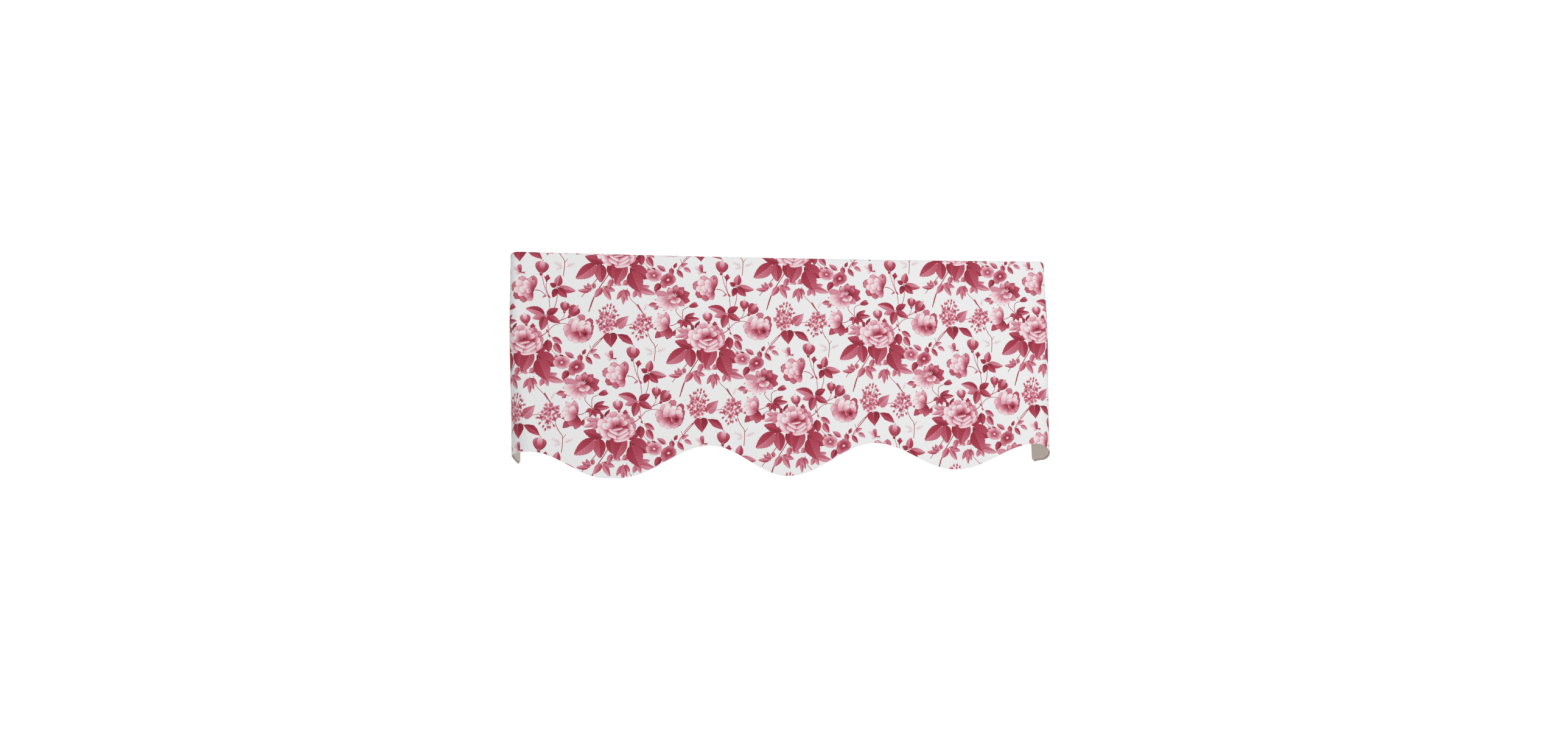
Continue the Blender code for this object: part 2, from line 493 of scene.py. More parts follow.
def open_rose():
    """The large open rose: pale upright petals behind, wide flat ones spread below its stamens."""
    shapes = petals((
        (-2 - 2j, -18 - 21j, 15, 0.75, 0.25, 0.2),
        (0 - 2j, -8 - 26j, 15, 0.80, 0.30, 0.1),
        (2 - 2j, 9 - 24j, 14, 0.70, 0.12, 0.0),
        (6 - 1j, 22 - 21j, 15, 1.05, 0.60, 0.2),
        (8 - 1j, 33 - 10j, 14, 1.05, 0.45, 0.1),
        (4 + 2j, 37 + 3j, 14, 1.00, 0.50, 0.0),
        (6 - 2j, 16 - 20j, 11, 0.95, 0.35, 0.1),
        (-2 + 2j, -37 - 6j, 21, 0.70, 0.10, -0.1),
        (2 + 4j, 36 + 13j, 15, 0.95, 0.40, -0.1),
        (-2 + 6j, -40 + 10j, 14, 0.85, 0.03, 0.1),
        (6 + 2j, 26 - 9j, 13, 0.85, 0.35, 0.0),
    ))
    shapes += petals((
        (-13 + 9j, -25 + 24j, 27, 1.00, 0.15, 0.1),
        (17 + 10j, 26 + 24j, 26, 1.05, 0.30, -0.1),
        (6 + 13j, 9 + 32j, 33, 1.05, 0.12, 0.0),
        (-12 + 6j, -31 + 15j, 19, 0.95, 0.03, 0.0),
        (-3 + 10j, -10 + 24j, 25, 1.00, 0.05, 0.0),
        (14 + 7j, 31 + 15j, 18, 1.00, 0.12, 0.0),
        (5 + 10j, 13 + 24j, 29, 1.05, 0.08, 0.0),
        (0 + 6j, -6 + 17j, 27, 0.95, 0.03, 0.1),
        (7 + 6j, 13 + 16j, 27, 0.95, 0.05, -0.1),
        (14 + 4j, 30 + 6j, 13, 0.95, 0.08, -0.2),
        (-6 + 3j, -28 - 1j, 13, 0.60, 0.00, -0.2),
    ), RUFFLED)
    shapes += petals((
        (-1 + 1j, -17 - 13j, 13, 0.75, 0.06, 0.1),
        (1 + 1j, 12 - 16j, 11, 0.90, 0.15, 0.1),
        (0 + 1j, -3 - 16j, 14, 0.70, 0.03, 0.0),
        (2 + 2j, 20 - 6j, 11, 0.90, 0.12, 0.0),
        (-4 + 3j, -20 - 3j, 9, 0.75, 0.03, -0.1),
        (1 + 3j, 2 + 10j, 20, 0.90, 0.05, 0.0),
    ))
    shapes += petal(3 + 2j, -6 + 2.5j, 7, (1.0, 0.9), ROUND, 0.3)
    shapes += petal(-2 + 2j, 8 + 1j, 7, (1.05, 0.9), ROUND, 0.3)
    for number in range(STAMENS):
        reach = math.sqrt((number + 1) / STAMENS)
        foot = reach * complex(7.5 * math.cos(number * 2.4), 3.6 * math.sin(number * 2.4))
        head = foot + 2.5j - 2.2 * turned(60 + 30 * (number % 3))
        tone = (1.15, 0.2, 0.95)[number % 3]
        shapes += patch(SPIKE, foot + 1j, head, 1.7, (tone, tone))
    return shapes


def cabbage_rose():
    """A full rose turned to the lower right: folded petals wrapped round a deep heart."""
    shapes = petals((
        (2 - 2j, 9 - 27j, 16, 0.75, 0.55, -0.2),
        (4 - 2j, 27 - 17j, 15, 0.95, 0.75, 0.2),
        (8 + 0j, 29 - 5j, 16, 1.05, 0.70, 0.2),
        (8 + 4j, 27 + 9j, 17, 1.05, 0.75, 0.1),
        (-3 - 2j, -15 - 17j, 16, 0.55, 0.30, 0.1),
        (-3 + 0j, -28 + 2j, 17, 0.75, 0.25, 0.2),
        (-4 + 3j, -25 + 13j, 14, 0.60, 0.40, 0.1),
        (8 + 8j, 20 + 22j, 17, 1.05, 0.70, 0.0),
    ), RUFFLED)
    shapes += petals((
        (0 - 4j, -5 - 21j, 13, 0.75, 0.10, 0.1),
        (6 + 0j, 22 - 13j, 13, 0.95, 0.10, 0.3),
        (7 - 2j, 25 + 1j, 12, 1.00, 0.15, 0.3),
    ), RUFFLED)
    shapes += petals((
        (-9 + 16j, -1 - 18j, 12, 0.55, 0.03, -0.5),
        (-2 + 18j, 12 - 16j, 13, 0.75, 0.02, -0.6),
        (4 + 19j, 22 - 7j, 13, 0.90, 0.08, -0.6),
        (2 + 17j, 9 - 6j, 12, 0.85, 0.12, -0.4),
    ))
    shapes += petals((
        (-1 + 6j, -19 + 22j, 15, 0.85, 0.18, 0.1),
        (12 + 8j, 21 + 20j, 16, 1.05, 0.45, 0.0),
        (1 + 8j, -7 + 28j, 15, 0.90, 0.15, 0.1),
        (6 + 9j, 8 + 28j, 18, 1.00, 0.30, 0.0),
    ), RUFFLED)
    shapes += petal(14 + 16j, 23 + 2j, 12, (1.0, 0.30), ROUND, 0.4, -0.4)
    shapes += placed(ring(5, 9.5, 10, (1.10, 0.45), 20, ROUND, 0.4, 0.1, bow=0.3), 11.5 + 10j)
    shapes += placed(ring(4, 6, 7, (1.15, 0.70), 60, ROUND, 0.4, 0.1, bow=0.3), 12 + 11j)
    return shapes


def half_open_rose():
    """A rose seen from the side, its bowl of petals open to the left."""
    shapes = petals((
        (18 + 4j, 17 - 24j, 13, 0.85, 0.55, 0.3),
        (18 + 4j, -9 - 20j, 22, 0.85, 0.35, -0.2),
        (17 + 6j, -25 - 5j, 22, 0.95, 0.55, 0.1),
        (17 + 8j, -20 + 15j, 20, 1.05, 0.70, 0.1),
        (16 + 7j, -6 + 25j, 19, 1.05, 0.60, 0.2),
        (18 + 6j, 11 - 20j, 15, 0.90, 0.35, 0.1),
        (16 + 6j, 9 + 25j, 14, 0.95, 0.40, 0.1),
    ), RUFFLED)
    shapes += petals((
        (17 + 5j, -15 - 14j, 17, 0.80, 0.08, -0.2),
        (17 + 6j, -20 + 3j, 15, 0.85, 0.10, 0.1),
        (17 + 6j, -12 + 12j, 15, 0.90, 0.15, 0.2),
        (18 + 4j, 1 - 15j, 14, 0.80, 0.06, -0.3),
        (18 + 5j, -9 + 1j, 14, 0.75, 0.03, -0.1),
        (18 + 6j, 1 + 17j, 13, 0.95, 0.30, 0.2),
        (19 + 5j, -1 - 5j, 12, 0.85, 0.05, -0.2),
        (19 + 5j, 4 + 6j, 12, 0.90, 0.15, 0.1),
    ), ROUND, 0.55)
    return shapes + petal(16 - 15j, 20 - 22j, 5, (0.9, 0.5))


def rose_bud(plump, tones):
    """A closed bud standing up from 0, 24 mm tall, with long feathery sepals."""
    shapes = []
    for angle, reach in ((-128, 19), (-52, 19), (-110, 20), (-70, 21)):
        shapes += patch(SPIKE, -4j, -4j + reach * turned(angle), 2.2, (0.75, 0.55))
    shapes += petal(-1j, -22j - 4, 12 * plump, (tones[0] + 0.1, tones[1] + 0.35), ROUND, 0.5, -0.3)
    shapes += petal(-1j, -21j + 4, 12 * plump, (tones[0] + 0.25, tones[1] + 0.45), ROUND, 0.5, 0.3)
    shapes += petal(-1j, -24j, 8 * plump, tones, POINTED, 0.5)
    shapes += needles(-3j, 10, (-140, -108, -72, -40), 0.9)
    for side in (-1, 1):
        shapes += patch(SPIKE, 5 * side - 9j, 10 * side - 13j, 1.0, (0.8, 0.8))
        shapes += patch(SPIKE, 5 * side - 13j, 9 * side - 18j, 1.0, (0.8, 0.8))
    return shapes + patch(OVAL, 3j, -4j, 5.4, (0.95, 0.65))


def dark_bud():
    """A small dark bud, 15 mm tall."""
    shapes = petal(0j, -13j, 8, (0.95, 0.8), POINTED, 0.3)
    shapes += needles(-2j, 10, (-135, -105, -75, -45), 1.0)
    shapes += needles(-6j, 7, (-160, -20), 0.95)
    return shapes + patch(ROUND, 2j, -2.5j, 3.6, (1.0, 0.9))


def poppy_bud():
    """A plump nodding bud, 18 mm long, pointing across."""
    shapes = petal(0j, 17 - 1j, 11, (0.9, 0.65), ROUND, 0.35)
    shapes += petal(1 + 1j, 18 + 2j, 7, (0.95, 0.8), POINTED, 0.4)
    return shapes + needles(1j, 7, (-30, 0, 28), 0.95)


def water_lily():
    """Pointed petals: pale ones spread to the left and deep ones to the right."""
    shapes = []
    for angle, reach, width, tones in (
        (-118, 23, 16, (0.90, 0.50)),
        (-80, 26, 16, (0.95, 0.60)),
        (-48, 28, 17, (1.05, 0.70)),
        (-18, 31, 18, (1.10, 0.75)),
        (12, 30, 17, (1.10, 0.75)),
        (40, 24, 15, (0.90, 0.45)),
    ):
        shapes += petal(2j, 2j + reach * turned(angle), width, tones, POINTED, 0.5)
    for angle, reach, width, tones in (
        (203, 36, 16, (0.45, 0.50)),
        (178, 34, 15, (0.55, 0.15)),
        (154, 32, 15, (0.60, 0.10)),
        (128, 29, 15, (0.70, 0.10)),
        (100, 24, 14, (0.75, 0.12)),
        (72, 22, 14, (0.80, 0.20)),
    ):
        shapes += petal(-3 + 4j, -3 + 4j + reach * turned(angle), width, tones, POINTED, 0.6)
    shapes += petals((
        (0 - 1j, -9 - 18j, 12, 0.95, 0.30, 0.0),
        (2 - 2j, 5 - 21j, 12, 1.05, 0.45, 0.0),
        (5 - 2j, 17 - 13j, 12, 1.10, 0.55, 0.0),
    ), POINTED, 0.5)
    for number in range(8):
        ahead = turned(182 + 19 * number)
        shapes += patch(SPIKE, -2 + 3j, -2 + 3j + ahead * (13 - number % 3), 2.6, (0.7, 0.02))
    shapes += petal(2j, 11 + 10j, 13, (0.70, 0.08), ROUND, 0.6)
    return shapes + petal(2j, -3 + 13j, 13, (0.65, 0.05), ROUND, 0.6)


def side_flower():
    """A cup of petals seen from the side: its stalk joins at the right, the pale inside faces left."""
    shapes = []
    for number, angle in enumerate((-132, -146, -160, -174, 172, 158, 144)):
        tip = 12 + 3j + (27 - number % 2 * 4) * turned(angle)
        shapes += petal(12 + 3j, tip, 8, (0.95, 0.75), POINTED, 0.3)
    shapes += petal(13 + 2j, 9 - 26j, 16, (0.85, 0.35), POINTED, 0.5, -0.3)
    shapes += petal(13 + 2j, -6 - 24j, 15, (0.75, 0.20), POINTED, 0.6, -0.15)
    shapes += petal(14 + 3j, -13 + 24j, 15, (1.00, 0.75), POINTED, 0.4, 0.15)
    shapes += petal(14 + 3j, 9 + 27j, 16, (1.00, 0.65), POINTED, 0.4, -0.25)
    shapes += petal(14 + 3j, -3 + 20j, 14, (1.00, 0.60), RUFFLED, 0.4)
    shapes += petal(14 + 2j, -12 - 12j, 15, (0.70, 0.10), ROUND, 0.6, -0.1)
    shapes += petal(11 + 3j, -15 - 3j, 14, (0.60, 0.03), ROUND, 0.6)
    shapes += petal(12 + 4j, -11 + 7j, 13, (0.65, 0.03), ROUND, 0.6)
    return shapes + petal(14 + 2j, 3 - 16j, 15, (0.75, 0.10), ROUND, 0.6, -0.3)


def wild_flower(tones):
    """A five-petalled flower, 27 mm across, with dark rays round its eye."""
    shapes = ring(5, 14, 15.5, tones, -54, RUFFLED, 0.6, 0.05)
    shapes += patch(CROSS, -5 + 0j, 5 + 0j, 10, (0.1, 1.1), 0.0, STAR)
    return placed(shapes, 0j, squash=0.84)


def lilac(length, turn, buds, florets):
    """A spray of lilac about 0: stalked buds towards its tip, florets towards its base."""
    shapes = []
    for number in range(buds):
        rank, spread = number // 5, (number % 5 - 2) / 2
        root = complex(0.15, 0.15 * spread) * length
        tip = complex(0.47 - 0.20 * spread**2 + 0.12 * rank, (0.34 - 0.1 * rank) * spread) * length
        ahead = (tip - root) / abs(tip - root)
        shapes += patch(SPIKE, root, tip, 1.4, (0.7, 0.7))
        shapes += patch(OVAL, tip - 2 * ahead, tip + 4.5 * ahead, 4.2, (0.95, 0.35))
    for number in range(florets):
        reach = math.sqrt((number + 0.5) / florets)
        place = reach * turned(number * 137.5)
        place = complex(place.real * 0.40 * length - 0.10 * length, place.imag * 0.36 * length)
        size = 6.6 - number % 3 * 0.5
        ahead = size * turned(31 * number)
        tones = ((0.75, 0.42), (0.85, 0.60), (0.7, 0.15))[number % 3]
        shapes += placed(patch(CROSS, -ahead, ahead, 2 * size, tones, 0.0, STAR), place, squash=0.9)
    return placed(shapes, 0j, turn)


def palm_leaf(node, fans, tones):
    """Pointed leaflets from one node; each of `fans` is (tip, width)."""
    light, dark = tones
    shapes = []
    for number, (tip, width) in enumerate(fans):
        shapes += leaf(node, tip, width, light - 0.06 * (number % 2), dark, 0.0, 3, None, 0.25)
    return shapes


def butterfly():
    """A small butterfly, 24 mm across, its wings up and to the left."""
    shapes = petal(2 + 3j, -16 - 7j, 8, (0.55, 0.15), RUFFLED, 0.6, 0.15)
    shapes += petal(2 + 2j, -2 - 14j, 10, (0.85, 0.55), ROUND, 0.5, -0.2)
    shapes += petal(2 + 4j, -10 + 6j, 8, (0.45, 0.12), RUFFLED, 0.6, -0.1)
    shapes += patch(OVAL, -4 + 2j, 8 + 6j, 3.2, (0.9, 0.8))
    shapes += patch(OVAL, 6 + 4j, 10 + 6j, 4.0, (0.95, 0.85))
    for far in (-8 + 11j, 12 + 11j, 13 + 3j, 4 + 11j):
        shapes += stem([3 + 5j, far], 0.5, 0.35, 0.75)
    return shapes


# One unit of the half-drop repeat, drawn about the middle of the open rose.

def back_growth():
    """Stems, twigs and feathery sprigs, which lie behind the rest."""
    shapes = twig([-10 + 30j, -19 + 46j, -38 + 74j, -50 + 96j, -57 + 118j], 2.1)
    shapes += each(stem, (
        ([-28 + 60j, -42 + 80j, -57 + 118j], 1.2, 1.8, 0.95, (0.45, 0.7, 0.85)),
        ([-28 + 38j, -40 + 54j, -56 + 72j, -70 + 89j], 1.7, 1.2, 0.85),
        ([16 + 72j, 20 + 90j, 33 + 105j, 40 + 116j], 1.0, 1.2, 0.85),
    ))
    shapes += twig([35 + 104j, 42 + 117j, 50 + 129j], 2.8)
    shapes += sprig(46 + 118j, 53 + 104j, 3, 0.5)
    shapes += each(stem, (
        ([-22 + 73j, -8 + 66j, 12 + 66j, 30 + 68j], 0.8, 0.8, 0.8),
        ([-29 + 69j, -12 + 64j, 2 + 52j], 1.0, 1.0, 0.85),
        # stems of the roses and buds
        ([33 - 5j, 43 - 12j, 55 - 24j, 70 - 28j, 84 - 26j], 1.4, 1.0, 0.8),
        ([24 + 2j, 38 - 8j, 45 - 14j], 1.6, 1.3, 0.8),
        ([43 - 44j, 44 - 28j, 46 - 8j], 1.3, 1.3, 0.65),
        ([56 - 57j, 61 - 72j, 63 - 92j], 1.5, 1.2, 0.75),
        ([48 - 57j, 47 - 78j, 40 - 96j, 34 - 124j], 1.3, 1.2, 0.65, (0.3, 0.55, 0.8)),
        ([46 - 82j, 42 - 98j, 43 - 108j], 1.2, 1.1, 0.75, (0.5,)),
        ([22 - 93j, 32 - 91j, 42 - 82j], 1.6, 1.2, 0.85),
        ([68 - 34j, 74 - 42j, 75 - 50j], 1.2, 0.9, 0.7),
        ([52 - 31j, 66 - 33j, 84 - 41j], 1.6, 1.2, 0.9, (0.6,)),
        # stems to the left
        ([-58 - 64j, -57 - 48j, -45 - 34j], 1.2, 1.2, 0.9),
        ([-33 - 58j, -44 - 52j, -45 - 34j], 1.2, 1.2, 0.9),
        ([-72 - 21j, -62 - 23j, -52 - 29j], 1.4, 1.2, 0.9),
        ([-61 - 12j, -54 - 17j, -45 - 15j], 1.1, 1.1, 0.75),
        ([-96 - 63j, -90 - 58j, -84 - 57j], 1.0, 1.0, 0.7),
        ([-113 - 8j, -108 + 6j, -100 + 20j, -103 + 48j], 1.3, 1.4, 0.85, (0.4,)),
        ([-100 + 22j, -94 + 14j], 1.1, 0.8, 0.85),
    ))
    shapes += each(sprig, (
        (-103 + 30j, -119 + 22j),
        (-98 + 30j, -82 + 24j),
        (-103 + 31j, -115 + 35j, 3),
    ))
    shapes += each(stem, (
        ([-55 - 131j, -47 - 134j, -42 - 140j], 0.7, 0.7, 0.6),
        # lilac stems
        ([-30 + 167j, -44 + 182j, -58 + 196j, -64 + 208j], 1.6, 1.8, 0.75),
        ([-24 + 162j, -38 + 172j, -52 + 186j], 1.3, 1.2, 0.9),
        ([-54 + 192j, -57 + 182j], 1.2, 0.9, 0.8),
        ([-25 + 150j, -27 + 160j, -36 + 172j], 0.8, 0.8, 0.9),
        ([-20 + 150j, -21 + 158j, -8 + 161j], 0.8, 0.8, 0.9),
        ([6 + 146j, 22 + 144j, 39 + 146j, 46 + 152j], 1.1, 1.0, 0.8),
        ([20 + 144j, 25 + 140j], 0.8, 0.6, 0.8),
    ))
    return shapes


def pale_sprays():
    """Light leaves behind the rose's own."""
    return each(palm_leaf, (
        (-52 + 78j, [(-66 + 66j, 8), (-77 + 76j, 9), (-58 + 61j, 8)], (0.55, 0.7)),
        (-48 + 74j, [(-44 + 62j, 8), (-60 + 70j, 8)], (0.55, 0.7)),
        (-29 + 69j, [(-46 + 90j, 13), (-15 + 96j, 12), (-6 + 78j, 11)], (0.5, 0.68)),
        (-10 + 52j, [(-20 + 72j, 11), (4 + 68j, 12)], (0.5, 0.65)),
        (9 + 74j, [(-4 + 95j, 9), (8 + 105j, 9), (22 + 88j, 10), (16 + 98j, 8)], (0.55, 0.7)),
        (36 + 74j, [(27 + 91j, 10), (42 + 92j, 9), (60 + 68j, 11), (71 + 85j, 13)], (0.5, 0.62)),
        (20 + 56j, [(8 + 66j, 11), (34 + 70j, 11)], (0.5, 0.65)),
    ))


def rose_leaves():
    """The big dark leaves under the open rose."""
    shapes = each(leaf, (
        (-26 + 24j, -62 + 9j, 19, 0.78, 0.92, 0.1),
        (17 + 27j, 43 + 12j, 18, 0.85, 1.0),
        (-13 + 20j, -10 + 54j, 21, 0.9, 0.8),
        (-34 + 22j, -33 + 61j, 24, 0.68, 0.86),
        (-40 + 24j, -80 + 53j, -27, 0.58, 0.82, 0.1, 9),
        (21 + 31j, 59 + 53j, 29, 0.95, 0.78, -0.1, 9),
        (15 + 23j, -5 + 65j, 25, 0.84, 0.66, 0.1, 9),
        (25 + 36j, 41 + 80j, 32, 0.86, 0.72, 0.05, 9),
        (43 + 1j, 45 + 27j, 16, 0.95, 0.8),
        (50 - 2j, 70 + 12j, 11, 0.5, 0.75, -0.15, 4),
        (55 + 8j, 67 + 30j, 14, 0.5, 0.8, 0.1, 4),
    ))
    shapes += stem([48 + 20j, 56 + 30j, 66 + 34j], 0.9, 0.8, 0.85)
    shapes += each(leaf, (
        (56 + 31j, 61 + 44j, 8, 0.45, 0.7, 0, 3),
        (64 + 30j, 75 + 46j, 9, 0.8, 0.95, 0, 3),
    ))
    return shapes


def leaf_clusters():
    """The five leaves above the rose, the trefoil over them and the leaves about the buds."""
    shapes = each(leaf, (
        (41 - 44j, 4 - 57j, -17, 0.5, 0.85, -0.35),
        (41 - 44j, 16 - 38j, 13, 0.5, 0.6),
        (41 - 44j, 64 - 57j, -14, 0.85, 0.95, 0.1),
        (41 - 44j, 67 - 29j, 14, 0.85, 0.7),
        (41 - 44j, 32 - 15j, 17, 0.85, 0.65, 0.05),
        (62 - 98j, 68 - 122j, 16, 0.8, 0.5),
        (62 - 98j, 97 - 91j, 15, 0.75, 0.5, 0.12),
        (62 - 98j, 80 - 78j, 15, 0.75, 0.92),
        (62 - 98j, 49 - 106j, 10, 0.9, 0.9, 0, 4),
        (62 - 98j, 54 - 78j, 12, 0.95, 0.95, 0, 4),
        (44 - 84j, 34 - 78j, 4, 0.5, 0.6, 0, 3),
        (44 - 84j, 50 - 77j, 4, 0.8, 0.6, 0, 3),
        (45 - 10j, 41 - 17j, 4, 0.6, 0.8, 0, 3),
        (45 - 8j, 48 - 1j, 4, 0.6, 0.8, 0, 3),
    ))
    shapes += each(palm_leaf, (
        # spiky leaves to the rose's left
        (-44 - 33j, [(-21 - 46j, 10), (-12 - 34j, 11), (-57 - 26j, 8), (-50 - 16j, 8)], (0.7, 0.9)),
        (-44 - 33j, [(-38 - 16j, 9), (-27 - 22j, 10)], (0.85, 0.95)),
        (-32 - 6j, [(-57 - 13j, 11), (-62 + 2j, 10), (-47 + 8j, 9), (-40 - 16j, 9)], (0.42, 0.55)),
        (-24 - 14j, [(-12 - 30j, 7), (-30 - 24j, 7), (-31 - 14j, 8)], (0.9, 1.0)),
    ))
    shapes += each(leaf, (
        # leaves among the small flowers
        (-74 - 128j, -92 - 141j, 10, 0.5, 0.7, 0.1, 4),
        (-64 - 138j, -64 - 120j, 11, 0.6, 0.8, 0, 3),
        (-60 - 134j, -53 - 146j, 7, 0.8, 0.9, 0, 3),
        (-54 - 133j, -42 - 116j, 10, 0.6, 0.85, 0, 4),
        (-47 - 137j, -31 - 145j, 7, 0.45, 0.65, -0.3, 3),
        (-42 - 137j, -26 - 126j, 9, 0.4, 0.6, -0.2, 3),
        (-85 - 107j, -98 - 89j, 13, 0.75, 0.95, 0, 4),
        (-84 - 106j, -75 - 96j, 12, 0.5, 0.65, 0, 4),
        (-92 - 66j, -111 - 62j, 11, 0.7, 0.5, -0.2, 4, NARROW_HALF),
        (-90 - 62j, -100 - 53j, 9, 0.5, 0.65, 0, 4, NARROW_HALF),
        # lilac leaves
        (-4 + 147j, 18 + 126j, 21, 0.45, 0.6, 0, 5, HEART_HALF),
        (-18 + 160j, -17 + 188j, 27, 0.8, 0.92, 0, 5, HEART_HALF),
        (-7 + 161j, 25 + 184j, 16, 0.75, 0.92, -0.3, 5, NARROW_HALF),
    ))
    return shapes


def flowers():
    """Every flower and bud of the unit but the open rose."""
    return each(placed, (
        (lilac(50, -75, 10, 20), -23 + 134j),
        (lilac(48, 118, 7, 17), -124 - 22j),
        (water_lily(), -60 - 78j),
        (side_flower(), -86 - 22j),
        (wild_flower((0.75, 0.3)), -98 - 121j, 10, 1.1),
        (wild_flower((0.95, 0.55)), -71 - 112j, -20, 1.1),
        (poppy_bud(), -32 - 59j, -12),
        (poppy_bud(), -60 - 12j, 118, 0.72),
        (rose_bud(1.15, (0.85, 0.25)), 33 - 124j, 8, 1.15),
        (dark_bud(), 43 - 110j, 12),
        (rose_bud(1.0, (0.85, 0.35)), 75 - 50j, 6, 0.9),
        (rose_bud(0.95, (0.9, 0.4)), 84 - 41j, 38, 1.15),
        (rose_bud(1.05, (0.75, 0.15)), 5 - 26j, -8, 0.95),
        (dark_bud(), 16 - 17j, 5, 0.9),
        (half_open_rose(), 1 - 97j),
        (cabbage_rose(), 100 - 18j),
        (butterfly(), -5 - 131j, 0.0, 0.85),
    ))


UNIT = back_growth() + pale_sprays() + leaf_clusters() + rose_leaves() + flowers() + open_rose()


# The unit is laid out in a half drop: every other column of roses starts half a repeat lower.  The
# print is measured in millimetres.
MM = 1000.0  # in a metre
REPEAT_ACROSS = 343.0
REPEAT_DOWN = 336.0
PRINT_CLIMB = 1.34  # degrees by which the rows of roses climb to the right
PRINT_SLANT = -0.033  # and each row down is shifted left by this much of its drop
ROSE_PLACE = complex(-172.9, 160.4)
BACK_DETAIL_ENDS = -35.0  # stems and the smallest shapes stop this far down the pocket's back
SMALL_HALF_WIDTH = 2.2  # a shape is one of the smallest below this


def unit_places():
    """Where the middle of each open rose lies, on more rows and columns than the cloth needs."""
    places = []
    for row in range(-3, 5):
        for column in range(-4, 6):
            down = row * REPEAT_DOWN / 2
            across = (column + row / 2 % 1) * REPEAT_ACROSS + PRINT_SLANT * down
            places.append(ROSE_PLACE + complex(across, down) * turned(-PRINT_CLIMB))
    return places


def outline_on_cloth(shape):
    """The shape's outline as complex places."""
    along, across = shape.outline[:, 0], shape.outline[:, 1]
    bent = across + 4 * shape.bow * along * (1 - along)
    return shape.origin + along * shape.along + bent * shape.across


def laid_out():
    """The shapes of every unit that reaches the cloth, the lowest-lying shape first."""
    unit = placed(UNIT, 0j, -PRINT_CLIMB)
    outlines = [outline_on_cloth(shape) for shape in unit]
    side = MM * HALF_CLOTH
    top, bottom = MM * BACK_EDGE, MM * FULL_DROP
    shapes, places = [], []
    for place in unit_places():
        for shape, outline in zip(unit, outlines):
            moved = outline + place
            if moved.real.min() > side or moved.real.max() < -side:
                continue
            if moved.imag.min() > bottom or moved.imag.max() < top:
                continue
            if moved.imag.max() < BACK_DETAIL_ENDS and abs(shape.across) < SMALL_HALF_WIDTH:
                continue
            shapes.append(shape._replace(origin=shape.origin + place))
            places.append(moved)
    return shapes, places


def cloth_edge():
    """The flat cloth's edge in millimetres: along the hem, up one back edge, along the seam of the
    pocket's back and down the other."""
    columns = across_lines()
    hem = [complex(MM * a, MM * d) for a, d in zip(columns, hem_drop(columns))]
    rows = MM * down_lines()
    side = MM * HALF_CLOTH
    clear = 1.0  # a row closer to the hem than this is left out
    right = [complex(side, row) for row in rows[::-1] if row < hem[-1].imag - clear]
    left = [complex(-side, row) for row in rows if row < hem[0].imag - clear]
    top = [complex(MM * a, MM * BACK_EDGE) for a in columns[::-1]]
    return hem + right[:-1] + top + left[1:]


def across_lines(flat_step=0.010, corner_step=0.0032):
    """Places across the cloth, closer together round the corners."""
    corner_start = HALF_WIDTH - CORNER_RADIUS_HEM - 0.004
    corner_end = HALF_WIDTH + 0.030  # flat cloth from here on
    half = list(np.arange(0.0, corner_start, flat_step))
    half += list(np.arange(corner_start, corner_end, corner_step))
    half += list(np.linspace(corner_end, HALF_CLOTH, 8))
    half = np.array(half)
    return np.concatenate([-half[:0:-1], half])


def down_lines(step=0.010, fold_step=0.0016):
    """Places down the cloth, closer together over the fold and at the pocket's seam."""
    lines = list(np.linspace(BACK_EDGE, FOLD_END, 9)[:-1])
    lines += list(np.arange(FOLD_END, FOLD_RADIUS + 0.003, fold_step))
    lines += list(np.arange(FOLD_RADIUS + 0.010, POCKET_DROP - 0.004, step))
    lines += [POCKET_DROP + 0.0011 * k for k in (-2, -1, 0, 1, 2)]
    lines += list(np.arange(POCKET_DROP + 0.010, FULL_DROP, step))
    return np.array(lines)


def as_vectors(places):
    """Complex places as the 2-D vectors that the triangulation takes."""
    return [Vector((z.real, z.imag)) for z in places]


def cross_product(a, b):
    """The cross product of complex numbers taken as 2-D vectors."""
    return a.real * b.imag - a.imag * b.real


def signed_area(outline):
    """The area inside a closed outline, above 0 if it turns from across towards down."""
    outline = np.asarray(outline)
    return cross_product(outline, np.roll(outline, -1)).sum() / 2


MERGE_WITHIN = 1e-4  # corners closer together than this, in millimetres, become one


def stack_of_shapes(outlines):
    """The shapes cut into triangles that don't overlap.  Returns (points, triangles, the number of
    the topmost shape on each, -1 where the ground shows)."""
    points, faces = [], []
    for outline in outlines:
        if signed_area(outline) <= 0:
            outline = outline[::-1]
        faces.append(list(range(len(points), len(points) + len(outline))))
        points += as_vectors(outline)
    corners, _, triangles, _, _, covers = delaunay_2d_cdt(points, [], faces, 0, MERGE_WITHIN, True)
    tops = np.array([max(cover) if cover else -1 for cover in covers])
    places = np.array([complex(c.x, c.y) for c in corners])
    return places, np.array(triangles), tops


def sides_of(triangles):
    """The directed sides of the triangles: the first of each, then the second, then the third."""
    return np.concatenate([triangles[:, [0, 1]], triangles[:, [1, 2]], triangles[:, [2, 0]]])


def colour_edges(triangles, tops):
    """The triangle edges where one topmost shape meets another."""
    sides = sides_of(triangles)
    sides.sort(axis=1)
    owners = np.tile(tops, 3)
    order = np.lexsort((sides[:, 1], sides[:, 0]))
    sides, owners = sides[order], owners[order]
    same = (sides[:-1] == sides[1:]).all(axis=1)
    differ = same & (owners[:-1] != owners[1:])
    return sides[:-1][differ]


